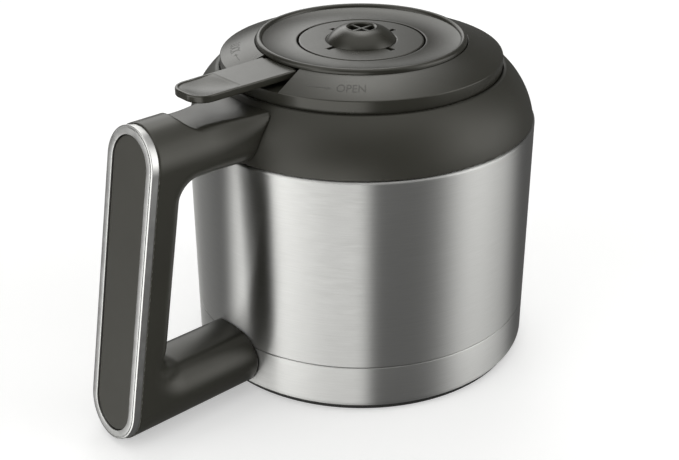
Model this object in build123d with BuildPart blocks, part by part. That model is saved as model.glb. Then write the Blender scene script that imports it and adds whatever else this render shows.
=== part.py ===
# Double-walled thermal carafe of a drip coffee maker, with a twist-lock brew-through lid.
# Millimetres, +Z up. The origin is the centre of the base's underside, on the carafe's axis.
# The handle and the thumb lever lie along -X, and the coffee pours along +X.
from build123d import *
from math import cos, degrees, radians, sin, sqrt, tan
import os

# Steel vessel
body_radius = 72.0
sheet = 0.8
seam_height = 21.3
seam_gap = 0.3
seam_depth = 0.45
shell_height = 102.2
shell_roll = 0.9
vacuum_gap = 4.6
neck_inset = 31.0
neck_rise = 9.8
flask_floor = 8.6
flask_corner = 12.0
flask_shoulder_drop = 13.2
shoulder_width = 2.6
neck_straight = 4.0
neck_overlap = 2.4
base_corner = 3.0
base_floor_height = 2.0
base_dome_height = 2.2
dome_edge = 1.5
foot_width = 7.0
foot_overhang = 0.6
foot_edge = 0.6
getter_radius = 7.0
getter_height = 2.0

# Plastic collar and its pour spout
collar_height = 21.4
collar_foot_step = 0.7
collar_narrowing = 12.6
collar_bulge_depth = 2.25
collar_edge = 1.4
collar_wall = 2.4
collar_inner_flare = 1.7
lid_seat_depth = 2.6
seat_clearance = 0.4
throat_step = 5.0
throat_wall = 2.4
lip_height = 1.5
gasket_squeeze = 0.9
ledge_width = 2.1
ledge_height = 2.6
ledge_angle = 40.0
lock_count = 4
lock_turn = 45.0
spout_reach = 8.6
spout_side_drop = 4.5
spout_half_width = 11.0
spout_wall = 2.2
spout_floor_drop = 7.2
spout_lip = 1.6
spout_inset = 1.5
spout_root_drop = 3.5

# Running and assembly clearances
fit = 0.3
slide_fit = 0.4
pin_fit = 0.05
weld_fit = 0.05
weld_overlap = 0.5
cut_margin = 1.0

# Lid
lid_wall = 2.2
lid_band_height = 7.3
cone_width = 14.3
cone_rise = 5.1
bead_radius = 1.2
disc_radius = 25.5
disc_gap = 0.7
disc_drop = 0.5
dish_sag = 1.1
dish_wall = 1.8
funnel_wall = 1.6
insert_plate = 1.8
neck_clearance = 2.0
insert_wall = 2.8
insert_depth = 14.0
insert_floor = 2.0
insert_head_clearance = 2.6
insert_head_height = 6.3
insert_head_wall = 2.0
insert_step = 1.6
lug_height = 2.7
lug_angle = 36.0
drain_radius = 17.0
gasket_height = 4.0
gasket_depth = 7.5
gasket_groove = 1.4
lid_screw_offset = 6.2
lid_screw_radius = 1.3
lid_screw_head_radius = 2.7
lid_screw_head_height = 1.0
lid_screw_length = 7.0
lid_post_radius = 3.2
post_angle = 30.0

# Lever
lever_overhang = 31.2
lever_thickness = 2.9
lever_tip_half_width = 9.4
lever_root_half_width = 10.3
lever_tip_corner = 7.0
lever_edge = 0.45
pad_length = 20.3
pad_border = 1.2
pad_depth = 1.5
pad_low_offset = 8.3
pivot_inset = 4.1
pivot_drop = 2.0
pivot_back = 2.6
pivot_front = 2.4
neck_drop = 2.4
arm_ramp = 2.0
arm_chamfer = 1.6
pin_radius = 1.5
ear_thickness = 2.0
ear_half_length = 2.4
arm_thickness = 2.6
arm_half_width = 8.5
arm_overlap = 2.2
well_angle = 29.0
well_floor_drop = 0.3
well_wall = 1.6

# Brew-through valve
disc_height = 3.6
nose_radius = 14.3
nose_height = 5.4
nose_top_radius = 6.3
nose_skirt = 2.5
nose_wall = 1.6
nose_shoulder_in = 3.3
nose_shoulder_rise = 3.4
nose_lip = 0.5
nose_lip_drop = 0.2
nose_bevel_drop = 0.4
cross_width = 1.0
cross_drop = 0.8
disc_edge = 0.5
notch_width = 2.2
notch_length = 4.2
scoop_depth = 2.4
scoop_centre_radius = 13.7
scoop_reach = 9.5
stem_radius = 8.0
stem_wall = 1.8
stem_flange_radius = 14.5
stem_flange_height = 1.8
valve_plate_overlap = 4.0
valve_plate_height = 2.4
seal_height = 1.5
seal_width = 7.0
spring_wire = 0.7
spring_radius = 10.4
spring_turns = 6

# Handle
handle_half_width = 15.0
handle_rise = 2.6
handle_bottom = 1.0
handle_lean = 10.1
handle_reach = 47.2
grip_thickness = 12.6
blank_margin = 20.0
arm_root_depth = 14.0
scoop_root_depth = 8.0
opening_top_rise = 1.5
opening_bottom = 27.8
opening_upper_corner = 14.0
opening_lower_corner = 9.0
handle_edge = 6.8
arm_flare_length = 14.0
arm_flare_side = 1.6
arm_flare_corner = 9.0
body_clearance = 0.25
arm_scoop_depth = 7.4
scoop_side_wall = 4.8
scoop_flare_wall = 3.2
scoop_end_inset = 19.7
scoop_corner = 8.0
scoop_floor_radius = 5.0
trim_thickness = 3.2
trim_width = 3.5
trim_inset = 0.5
trim_edge = 0.5
panel_gap = 0.2
panel_recess = 0.6
screw_well_radius = 4.7
screw_head_radius = 3.6
screw_head_height = 2.6
screw_radius = 2.0
screw_length = 12.0
upper_screw_rise = 9.3
upper_screw_reach = 8.0
lower_screw_reach = 11.0
boss_radius = 5.6
boss_root = 6.0
socket_wall = 3.7
bracket_thickness = 1.5
bracket_half_width = 9.5
bracket_half_height = 6.2

# Heights that follow from the sizes above
mouth_height = shell_height + neck_rise
flask_shoulder_height = shell_height - flask_shoulder_drop
insert_bottom = mouth_height - insert_depth
gasket_bottom = mouth_height - gasket_depth
collar_top = shell_height + collar_height
deck_height = collar_top - lid_seat_depth
lid_base = deck_height + fit
lid_edge_height = lid_base + lid_band_height
cone_top = lid_edge_height + cone_rise
bead_centre_height = cone_top + bead_radius / 2
disc_top = cone_top - disc_drop
disc_bottom = disc_top - disc_height
ledge_bottom = deck_height - ledge_height
lip_bottom = mouth_height + gasket_squeeze
lip_top = lip_bottom + lip_height
insert_top = lid_base + insert_plate
insert_head_bottom = lid_base - insert_head_height
insert_floor_top = insert_bottom + insert_floor
lug_bottom = ledge_bottom - fit - lug_height
lever_top = cone_top - disc_drop
lever_bottom = lever_top - lever_thickness
well_floor = lid_edge_height - well_floor_drop
flange_bottom = disc_bottom - stem_flange_height
arm_top = flange_bottom - fit
arm_bottom = arm_top - arm_thickness
pivot_height = lever_bottom - pivot_drop
seal_bottom = insert_floor_top + fit
plate_bottom = seal_bottom + seal_height
plate_top = plate_bottom + valve_plate_height
handle_top = collar_top + handle_rise
opening_top = shell_height + opening_top_rise
scoop_floor = handle_top - arm_scoop_depth
upper_screw_height = shell_height + upper_screw_rise
lower_screw_height = (handle_bottom + opening_bottom) / 2

# Radii that follow from the sizes above
mouth_radius = body_radius - neck_inset
collar_top_radius = body_radius - collar_narrowing
lid_radius = collar_top_radius - collar_edge - seat_clearance
rim_radius = lid_radius - cone_width
throat_radius = mouth_radius + throat_step
insert_radius = mouth_radius - neck_clearance
insert_head_radius = throat_radius - insert_head_clearance
lid_screw_circle = rim_radius + lid_screw_offset
lever_reach = lid_radius + lever_overhang
pad_crease = lever_reach - pad_length
pad_low_point = lever_reach - pad_low_offset
pivot_x = rim_radius - pivot_inset
arm_end = stem_flange_radius - arm_overlap
valve_plate_radius = drain_radius + valve_plate_overlap
handle_face_x = body_radius + handle_reach
arm_flare_start = body_radius + arm_flare_length
arm_flare_half_width = handle_half_width + arm_flare_side
scoop_half_width = handle_half_width - scoop_side_wall
scoop_flare_half_width = arm_flare_half_width - scoop_flare_wall
scoop_end = handle_face_x - scoop_end_inset
upper_screw_face = body_radius + upper_screw_reach
lower_screw_face = body_radius + lower_screw_reach
shell_inner_radius = body_radius - sheet
flask_radius = shell_inner_radius - vacuum_gap
neck_radius = mouth_radius + sheet + neck_overlap
shoulder_start = body_radius - shoulder_width
collar_bore = lid_radius + seat_clearance
funnel_radius = rim_radius - fit
bead_centre_radius = funnel_radius - bead_radius
dish_inner_radius = disc_radius + disc_gap
ledge_radius = throat_radius - ledge_width
lug_radius = throat_radius - slide_fit
cone_slope = cone_rise / (lid_radius - rim_radius)

# Directions of the four locks round the lid
lock_angles = [lock_turn + lock * 360 / lock_count for lock in range(lock_count)]

os.makedirs("parts", exist_ok=True)


def shell_shoulder_z(radius):
    """Height of the outer vessel's shoulder at a radius, on its outer side."""
    slope = (mouth_height - neck_straight - shell_height) / (shoulder_start - neck_radius)
    return shell_height + (shoulder_start - radius) * slope


# Outer shell: straight wall, rolled top edge, shoulder and neck under the collar
shell_bottom = seam_height + seam_gap / 2
neck_start = shell_shoulder_z(neck_radius)
with BuildPart() as outer_shell:
    with BuildSketch(Plane.XZ):
        with BuildLine():
            Polyline(
                (body_radius - sheet, shell_bottom),
                (body_radius - seam_depth, shell_bottom),
                (body_radius, shell_bottom + seam_depth),
                (body_radius, shell_height - shell_roll),
            )
            RadiusArc(
                (body_radius, shell_height - shell_roll),
                (body_radius - shell_roll, shell_height),
                -shell_roll,
            )
            Polyline(
                (body_radius - shell_roll, shell_height),
                (shoulder_start, shell_height),
                (neck_radius, neck_start),
                (neck_radius, mouth_height - sheet),
                (neck_radius - sheet, mouth_height - sheet),
                (neck_radius - sheet, neck_start - sheet),
                (shoulder_start - sheet, shell_height - sheet),
                (body_radius - sheet, shell_height - 2 * sheet),
                (body_radius - sheet, shell_bottom),
            )
        make_face()
    revolve(axis=Axis.Z)
outer_shell.part.label = "outer_shell"
export_step(outer_shell.part, "parts/outer_shell.step")

# Base cup: the lower band below the seam, with a raised centre underneath
cup_top = seam_height - seam_gap / 2
foot_outer = body_radius - base_corner + foot_overhang
foot_inner = foot_outer - foot_width
dome_radius = foot_inner - dome_edge
with BuildPart() as base_cup:
    with BuildSketch(Plane.XZ):
        with BuildLine():
            Polyline(
                (0, base_floor_height + base_dome_height),
                (dome_radius, base_floor_height + base_dome_height),
                (foot_inner, base_floor_height),
                (body_radius - base_corner, base_floor_height),
            )
            RadiusArc(
                (body_radius - base_corner, base_floor_height),
                (body_radius, base_floor_height + base_corner),
                -base_corner,
            )
            Polyline(
                (body_radius, base_floor_height + base_corner),
                (body_radius, cup_top - seam_depth),
                (body_radius - seam_depth, cup_top),
                (body_radius - sheet, cup_top),
                (body_radius - sheet, base_floor_height + base_corner),
            )
            RadiusArc(
                (body_radius - sheet, base_floor_height + base_corner),
                (body_radius - base_corner, base_floor_height + sheet),
                base_corner - sheet,
            )
            Polyline(
                (body_radius - base_corner, base_floor_height + sheet),
                (foot_inner, base_floor_height + sheet),
                (dome_radius, base_floor_height + base_dome_height + sheet),
                (0, base_floor_height + base_dome_height + sheet),
                (0, base_floor_height + base_dome_height),
            )
        make_face()
    revolve(axis=Axis.Z)
base_cup.part.label = "base_cup"
export_step(base_cup.part, "parts/base_cup.step")

# Foot ring: the black ring that the carafe stands on
with BuildPart() as foot_ring:
    with BuildSketch(Plane.XZ):
        with BuildLine():
            Polyline(
                (foot_inner + foot_edge, 0),
                (foot_outer - foot_edge, 0),
                (foot_outer, foot_edge),
                (foot_outer, base_floor_height),
                (foot_inner, base_floor_height),
                (foot_inner, foot_edge),
                close=True,
            )
        make_face()
    revolve(axis=Axis.Z)
foot_ring.part.label = "foot_ring"
export_step(foot_ring.part, "parts/foot_ring.step")

# Floor of the inner flask: a drawn cup, welded to the flask's wall
flask_wall_radius = flask_radius + sheet
flask_wall_start = flask_floor + flask_corner
with BuildPart() as flask_base:
    with BuildSketch(Plane.XZ):
        with BuildLine():
            Line((0, flask_floor), (flask_radius - flask_corner, flask_floor))
            RadiusArc(
                (flask_radius - flask_corner, flask_floor),
                (flask_radius, flask_wall_start),
                -flask_corner,
            )
            Line((flask_radius, flask_wall_start), (flask_wall_radius, flask_wall_start))
            RadiusArc(
                (flask_wall_radius, flask_wall_start),
                (flask_radius - flask_corner, flask_floor - sheet),
                flask_corner + sheet,
            )
            Polyline(
                (flask_radius - flask_corner, flask_floor - sheet),
                (0, flask_floor - sheet),
                (0, flask_floor),
            )
        make_face()
    revolve(axis=Axis.Z)
flask_base.part.label = "flask_base"
export_step(flask_base.part, "parts/flask_base.step")

# Wall of the inner flask: the tube that holds the coffee
with BuildPart() as inner_flask:
    with BuildSketch(Plane.XY.offset(flask_wall_start)):
        Circle(flask_wall_radius)
        Circle(flask_radius, mode=Mode.SUBTRACT)
    extrude(amount=flask_shoulder_height - flask_wall_start)
inner_flask.part.label = "inner_flask"
export_step(inner_flask.part, "parts/inner_flask.step")

# Neck of the inner flask: shoulder and throat, welded to the wall and to the shell at the lip
with BuildPart() as flask_neck:
    with BuildSketch(Plane.XZ):
        with BuildLine():
            Polyline(
                (flask_radius, flask_shoulder_height),
                (mouth_radius, neck_start - vacuum_gap),
                (mouth_radius, mouth_height),
                (neck_radius, mouth_height),
                (neck_radius, mouth_height - sheet),
                (mouth_radius + sheet, mouth_height - sheet),
                (mouth_radius + sheet, neck_start - vacuum_gap + sheet),
                (flask_wall_radius, flask_shoulder_height + sheet),
                (flask_wall_radius, flask_shoulder_height),
                close=True,
            )
        make_face()
    revolve(axis=Axis.Z)
flask_neck.part.label = "flask_neck"
export_step(flask_neck.part, "parts/flask_neck.step")

# Getter: the small capsule on the vessel's floor that keeps the vacuum
getter_base = base_floor_height + base_dome_height + sheet
getter_room = flask_floor - sheet - getter_base
with BuildPart() as getter:
    with BuildSketch(Plane.XY.offset(getter_base)):
        Circle(getter_radius)
    extrude(amount=min(getter_height, getter_room - fit))
    chamfer(getter.faces().sort_by(Axis.Z)[-1].edges(), getter_height / 8)
getter.part.label = "getter"
export_step(getter.part, "parts/getter.step")

# Collar outline, shared by the collar and by what fits against it
collar_foot_radius = body_radius - collar_foot_step
collar_foot_height = shell_height + fit
collar_chord = sqrt((collar_foot_radius - collar_top_radius) ** 2 + (collar_top - collar_foot_height) ** 2)
chord_normal_r = (collar_top - collar_foot_height) / collar_chord
chord_normal_z = (collar_foot_radius - collar_top_radius) / collar_chord
collar_mid_radius = (collar_foot_radius + collar_top_radius) / 2 + collar_bulge_depth * chord_normal_r
collar_mid_height = (collar_foot_height + collar_top) / 2 + collar_bulge_depth * chord_normal_z


def collar_point(side):
    """The middle of the collar's curved side, moved outwards by a distance."""
    return (collar_mid_radius + side * chord_normal_r, collar_mid_height + side * chord_normal_z)


def sector(angle, half_angle, inner, outer):
    """A ring's sector in the XY plane, centred on an angle in degrees."""
    first = radians(angle - half_angle)
    last = radians(angle + half_angle)
    middle = radians(angle)
    with BuildSketch() as area:
        with BuildLine():
            Line((inner * cos(first), inner * sin(first)), (outer * cos(first), outer * sin(first)))
            ThreePointArc(
                (outer * cos(first), outer * sin(first)),
                (outer * cos(middle), outer * sin(middle)),
                (outer * cos(last), outer * sin(last)),
            )
            Line((outer * cos(last), outer * sin(last)), (inner * cos(last), inner * sin(last)))
            ThreePointArc(
                (inner * cos(last), inner * sin(last)),
                (inner * cos(middle), inner * sin(middle)),
                (inner * cos(first), inner * sin(first)),
            )
        make_face()
    return area.sketch


# Sizes shared by the collar and its spout
deck_bottom = deck_height - collar_wall
skin_inner_foot = collar_foot_radius - collar_wall
skin_inner_top = collar_top_radius + collar_inner_flare
spout_floor = collar_top - spout_floor_drop
spout_tip = collar_top_radius + spout_reach
beak_half_width = spout_half_width + spout_wall
beak_radius = (spout_side_drop**2 + beak_half_width**2) / (2 * spout_side_drop)
beak_top = collar_top + cut_margin

# Beak of the pour spout: grows out of the collar below its top edge, rounded at its tip
with BuildPart() as spout_beak:
    with BuildSketch(Plane.XZ.offset(-beak_half_width)):
        with BuildLine():
            Polyline(
                (collar_bore + cut_margin, collar_top),
                (spout_tip, collar_top),
                (collar_mid_radius - cut_margin, collar_mid_height - spout_root_drop),
                (collar_bore + cut_margin, spout_floor - spout_wall),
                close=True,
            )
        make_face()
    extrude(amount=2 * beak_half_width)
    with BuildSketch(Plane.XY.offset(beak_top)):
        with Locations((spout_tip - beak_radius, 0)):
            Circle(beak_radius)
    extrude(amount=-(beak_top - collar_foot_height), mode=Mode.INTERSECT)

# Collar: curved skin, seat for the lid, throat with locking ledges, spout and handle boss
with BuildPart() as collar:
    with BuildSketch(Plane.XZ):
        with BuildLine():
            ThreePointArc(
                (collar_foot_radius, collar_foot_height),
                collar_point(0),
                (collar_top_radius, collar_top),
            )
            Polyline(
                (collar_top_radius, collar_top),
                (collar_bore, collar_top),
                (collar_bore, deck_height),
                (throat_radius, deck_height),
                (throat_radius, lip_top),
                (mouth_radius + slide_fit, lip_top),
                (mouth_radius + slide_fit, lip_bottom),
                (throat_radius + throat_wall, lip_bottom),
                (throat_radius + throat_wall, deck_bottom),
                (skin_inner_top, deck_bottom),
            )
            ThreePointArc(
                (skin_inner_top, deck_bottom),
                collar_point(-collar_wall),
                (skin_inner_foot, collar_foot_height),
            )
            Line((skin_inner_foot, collar_foot_height), (collar_foot_radius, collar_foot_height))
        make_face()
    revolve(axis=Axis.Z)
    # Spout: the beak joins the collar, and its channel runs out over the beak's lip
    add(spout_beak.part)
    with BuildSketch(Plane.XZ.offset(-spout_half_width)):
        with BuildLine():
            Polyline(
                (throat_radius - spout_inset, spout_floor),
                (collar_bore + spout_wall, spout_floor),
                (spout_tip + cut_margin, collar_top - spout_lip),
                (spout_tip + cut_margin, collar_top + cut_margin),
                (throat_radius - spout_inset, collar_top + cut_margin),
                close=True,
            )
        make_face()
    extrude(amount=2 * spout_half_width, mode=Mode.SUBTRACT)
    # Locking ledges in the throat
    with BuildSketch(Plane.XY.offset(ledge_bottom)):
        for angle in lock_angles:
            add(sector(angle, ledge_angle / 2, ledge_radius, throat_radius + weld_overlap))
    extrude(amount=ledge_height)
    # Boss that the handle's upper arm plugs onto
    with BuildSketch(Plane.YZ.offset(-upper_screw_face + socket_wall + fit)):
        with Locations((0, upper_screw_height)):
            Circle(boss_radius)
    extrude(amount=upper_screw_face - socket_wall - fit - collar_mid_radius + boss_root)
    with BuildSketch(Plane.YZ.offset(-upper_screw_face)):
        with Locations((0, upper_screw_height)):
            Circle(screw_radius + pin_fit)
    extrude(amount=screw_length + cut_margin, mode=Mode.SUBTRACT)
collar.part.label = "collar"
export_step(collar.part, "parts/collar.step")

# Neck gasket: seals the collar's lip on the flask's mouth
with BuildPart() as neck_gasket:
    with BuildSketch(Plane.XY.offset(mouth_height + weld_fit)):
        Circle(neck_radius)
        Circle(mouth_radius + slide_fit, mode=Mode.SUBTRACT)
    extrude(amount=gasket_squeeze - 2 * weld_fit)
neck_gasket.part.label = "neck_gasket"
export_step(neck_gasket.part, "parts/neck_gasket.step")

# Space kept free of the handle: the steel wall and the collar's curved side
with BuildPart() as vessel_space:
    with BuildSketch(Plane.XZ):
        with BuildLine():
            Polyline(
                (collar_top_radius + body_clearance, collar_top),
                (collar_top_radius + body_clearance, handle_top + blank_margin),
                (0, handle_top + blank_margin),
                (0, -cut_margin),
                (body_radius + body_clearance, -cut_margin),
                (body_radius + body_clearance, collar_foot_height),
                (collar_foot_radius + body_clearance, collar_foot_height),
            )
            ThreePointArc(
                (collar_foot_radius + body_clearance, collar_foot_height),
                collar_point(body_clearance),
                (collar_top_radius + body_clearance, collar_top),
            )
        make_face()
    revolve(axis=Axis.Z)

# Dished recess in the top of the handle's upper arm, below the lever
scoop_root = scoop_root_depth - collar_top_radius
with BuildPart() as arm_scoop:
    with BuildSketch(Plane.XY.offset(scoop_floor)) as scoop_outline:
        with BuildLine():
            Polyline(
                (scoop_root, -scoop_flare_half_width),
                (-arm_flare_start, -scoop_half_width),
                (-scoop_end, -scoop_half_width),
                (-scoop_end, scoop_half_width),
                (-arm_flare_start, scoop_half_width),
                (scoop_root, scoop_flare_half_width),
                close=True,
            )
        make_face()
        fillet(scoop_outline.vertices().group_by(Axis.X)[0], scoop_corner)
    extrude(amount=handle_top - scoop_floor + blank_margin)
    fillet(arm_scoop.faces().sort_by(Axis.Z)[0].edges(), scoop_floor_radius)

# Handle: leaning grip with an upper arm to the collar and a lower arm to the base cup
handle_middle = (handle_top + handle_bottom) / 2
lean_run = tan(radians(handle_lean))
front_normal = (-cos(radians(handle_lean)), 0, sin(radians(handle_lean)))
front_plane = Plane(origin=(-handle_face_x, 0, handle_middle), x_dir=(0, -1, 0), z_dir=front_normal)
inner_face_x = handle_face_x - grip_thickness
prism_end = body_radius - arm_root_depth


def grip_line_x(height, distance):
    """X on a line that leans with the grip, at a height; distance is from the axis at mid height."""
    return -distance + (height - handle_middle) * lean_run


# The top of the upper arm is rounded right across, as far as its height allows
arm_crown_radius = min(handle_half_width, handle_top - opening_top - handle_edge) - pin_fit


def arm_section(half_width, top_radius, bottom_radius):
    """A rounded arm section in the XY plane; its height runs along Y."""
    with BuildSketch() as section:
        with BuildLine():
            Polyline(
                (-half_width, opening_top),
                (half_width, opening_top),
                (half_width, handle_top),
                (-half_width, handle_top),
                close=True,
            )
        make_face()
        fillet(section.vertices().group_by(Axis.Y)[-1], top_radius)
        fillet(section.vertices().group_by(Axis.Y)[0], bottom_radius)
    return section.sketch


with BuildPart() as upper_arm:
    with BuildSketch(Plane.YZ.offset(-arm_flare_start)):
        add(arm_section(handle_half_width, arm_crown_radius, handle_edge))
    with BuildSketch(Plane.YZ.offset(-prism_end)):
        add(arm_section(arm_flare_half_width, arm_flare_corner, handle_edge))
    loft()

with BuildPart() as handle_body:
    with BuildSketch(Plane.YZ.offset(-handle_face_x - blank_margin)):
        with Locations((0, handle_middle)):
            SlotOverall(handle_top - handle_bottom, 2 * handle_half_width, rotation=90)
    extrude(amount=handle_face_x + blank_margin - prism_end)
    split(bisect_by=front_plane, keep=Keep.BOTTOM)
    # Finger opening
    with BuildSketch(Plane.XZ.offset(-handle_half_width - cut_margin)) as opening:
        with BuildLine():
            Polyline(
                (grip_line_x(opening_top, inner_face_x), opening_top),
                (-prism_end + cut_margin, opening_top),
                (-prism_end + cut_margin, opening_bottom),
                (grip_line_x(opening_bottom, inner_face_x), opening_bottom),
                close=True,
            )
        make_face()
        fillet(opening.vertices().sort_by(Axis.X)[1], opening_upper_corner)
        fillet(opening.vertices().sort_by(Axis.X)[0], opening_lower_corner)
    extrude(amount=2 * (handle_half_width + cut_margin), mode=Mode.SUBTRACT)
    # Rounded edges round the finger opening
    rim = [
        edge
        for edge in handle_body.edges()
        if abs(abs(edge.center().Y) - handle_half_width) < pin_fit
        and opening_bottom - pin_fit < edge.center().Z < opening_top + pin_fit
        and edge.center().X > grip_line_x(edge.center().Z, inner_face_x) - pin_fit
    ]
    fillet(rim, handle_edge)
    # The upper arm widens towards the collar
    with BuildSketch(Plane.XZ.offset(-handle_half_width - cut_margin)):
        with BuildLine():
            Polyline(
                (-arm_flare_start, opening_top - cut_margin),
                (-prism_end + cut_margin, opening_top - cut_margin),
                (-prism_end + cut_margin, handle_top + cut_margin),
                (-arm_flare_start, handle_top + cut_margin),
                close=True,
            )
        make_face()
    extrude(amount=2 * (handle_half_width + cut_margin), mode=Mode.SUBTRACT)
    add(upper_arm.part)
    add(arm_scoop.part, mode=Mode.SUBTRACT)
    add(vessel_space.part, mode=Mode.SUBTRACT)
    # Screw wells from the grip's face, and the sockets for the two bosses
    for height, face in ((upper_screw_height, upper_screw_face), (lower_screw_height, lower_screw_face)):
        with BuildSketch(Plane.YZ.offset(-face)):
            with Locations((0, height)):
                Circle(screw_well_radius)
        extrude(amount=-handle_face_x, mode=Mode.SUBTRACT)
        with BuildSketch(Plane.YZ.offset(-face)):
            with Locations((0, height)):
                Circle(screw_radius + fit)
        extrude(amount=socket_wall + cut_margin, mode=Mode.SUBTRACT)
        with BuildSketch(Plane.YZ.offset(-face + socket_wall)):
            with Locations((0, height)):
                Circle(boss_radius + fit)
        extrude(amount=face - socket_wall - prism_end, mode=Mode.SUBTRACT)
    # Recess for the bracket's plate
    with BuildSketch(Plane.XY.offset(lower_screw_height - bracket_half_height - fit)):
        Circle(body_radius + bracket_thickness + 2 * fit)
        Rectangle(4 * body_radius, 2 * (bracket_half_width + fit), mode=Mode.INTERSECT)
    extrude(amount=2 * (bracket_half_height + fit), mode=Mode.SUBTRACT)
handle_body.part.label = "handle_body"
export_step(handle_body.part, "parts/handle_body.step")

# Trim: the silver ring round the grip's face
trim_half_length = (handle_top - handle_bottom) / 2 / cos(radians(handle_lean)) - trim_inset
trim_half_width = handle_half_width - trim_inset
with BuildPart() as handle_trim:
    with BuildSketch(front_plane):
        SlotOverall(2 * trim_half_length, 2 * trim_half_width, rotation=90)
        SlotOverall(2 * (trim_half_length - trim_width), 2 * (trim_half_width - trim_width),
                    rotation=90, mode=Mode.SUBTRACT)
    extrude(amount=trim_thickness)
    outer_face = handle_trim.faces().sort_by(Axis(origin=(0, 0, 0), direction=front_normal))[-1]
    chamfer(outer_face.edges(), trim_edge)
handle_trim.part.label = "handle_trim"
export_step(handle_trim.part, "parts/handle_trim.step")

# Grip panel: the dark insert inside the trim, over the screw wells
with BuildPart() as grip_panel:
    with BuildSketch(front_plane):
        SlotOverall(2 * (trim_half_length - trim_width - panel_gap),
                    2 * (trim_half_width - trim_width - panel_gap), rotation=90)
    extrude(amount=trim_thickness - panel_recess)
grip_panel.part.label = "grip_panel"
export_step(grip_panel.part, "parts/grip_panel.step")

# Lower bracket: welded to the base cup, with a boss for the lower screw
with BuildPart() as lower_bracket:
    with BuildSketch(Plane.XY.offset(lower_screw_height - bracket_half_height)):
        Circle(body_radius + bracket_thickness)
        Circle(body_radius + weld_fit, mode=Mode.SUBTRACT)
        with Locations((-body_radius, 0)):
            Rectangle(body_radius, 2 * bracket_half_width, mode=Mode.INTERSECT)
    extrude(amount=2 * bracket_half_height)
    with BuildSketch(Plane.YZ.offset(-lower_screw_face + socket_wall + fit)):
        with Locations((0, lower_screw_height)):
            Circle(boss_radius)
    extrude(amount=lower_screw_face - socket_wall - fit - body_radius - bracket_thickness / 2)
    with BuildSketch(Plane.YZ.offset(-lower_screw_face)):
        with Locations((0, lower_screw_height)):
            Circle(screw_radius + pin_fit)
    extrude(amount=lower_screw_face - body_radius - fit, mode=Mode.SUBTRACT)
lower_bracket.part.label = "lower_bracket"
export_step(lower_bracket.part, "parts/lower_bracket.step")

# Handle screws, in their wells behind the grip panel
with BuildPart() as handle_screws:
    lower_shank = lower_screw_face - body_radius - bracket_thickness
    for height, face, shank in (
        (upper_screw_height, upper_screw_face, screw_length),
        (lower_screw_height, lower_screw_face, lower_shank),
    ):
        with BuildSketch(Plane.YZ.offset(-face)):
            with Locations((0, height)):
                Circle(screw_head_radius)
        extrude(amount=-screw_head_height)
        with BuildSketch(Plane.YZ.offset(-face)):
            with Locations((0, height)):
                Circle(screw_radius)
        extrude(amount=shank)
handle_screws.part.label = "handle_screws"
export_step(handle_screws.part, "parts/handle_screws.step")


def cone_z(radius):
    """Height of the lid's sloping top at a radius."""
    return lid_edge_height + (lid_radius - radius) * cone_slope


# Outer form of the lid cover, used to trim the walls of the lever's well
with BuildPart() as lid_outline:
    with BuildSketch(Plane.XZ):
        with BuildLine():
            Polyline(
                (0, lid_base),
                (lid_radius, lid_base),
                (lid_radius, lid_edge_height),
                (rim_radius, cone_top),
                (0, cone_top),
                close=True,
            )
        make_face()
    revolve(axis=Axis.Z)

well_wall_angle = degrees(well_wall / lid_radius)
with BuildPart() as well_block:
    with BuildSketch(Plane.XY.offset(well_floor - well_wall)):
        add(sector(180, well_angle / 2 + well_wall_angle, rim_radius, lid_radius - lid_wall / 2))
    extrude(amount=cone_top - well_floor + well_wall)
    add(lid_outline.part, mode=Mode.INTERSECT)

# Lid cover: band, sloping top, screw posts and the well that the lever lies in
post_top = cone_z(lid_screw_circle + lid_post_radius) - fit
post_angles = (post_angle, 180 - post_angle, 180 + post_angle, 360 - post_angle)
post_spots = [(lid_screw_circle * cos(radians(a)), lid_screw_circle * sin(radians(a))) for a in post_angles]
with BuildPart() as lid_cover:
    with BuildSketch(Plane.XZ) as lid_section:
        with BuildLine():
            Polyline(
                (lid_radius - lid_wall, lid_base),
                (lid_radius, lid_base),
                (lid_radius, lid_edge_height),
                (rim_radius, cone_top),
                (rim_radius, cone_top - lid_wall),
                (lid_radius - lid_wall, cone_z(lid_radius - lid_wall) - lid_wall),
                close=True,
            )
        make_face()
        fillet(lid_section.vertices().sort_by(Axis.X)[-1], bead_radius / 2)
    revolve(axis=Axis.Z)
    with BuildSketch(Plane.XY.offset(insert_top)):
        with Locations(*post_spots):
            Circle(lid_post_radius)
    extrude(amount=post_top - insert_top)
    add(well_block.part)
    with BuildSketch(Plane.XY.offset(well_floor)):
        add(sector(180, well_angle / 2, rim_radius - cut_margin, lid_radius + cut_margin))
    extrude(amount=cone_top - well_floor + cut_margin, mode=Mode.SUBTRACT)
    with BuildSketch(Plane.XY.offset(insert_top)):
        with Locations(*post_spots):
            Circle(lid_screw_radius + pin_fit)
    extrude(amount=lid_screw_length - insert_plate + lid_screw_head_height, mode=Mode.SUBTRACT)
lid_cover.part.label = "lid_cover"
export_step(lid_cover.part, "parts/lid_cover.step")

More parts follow.
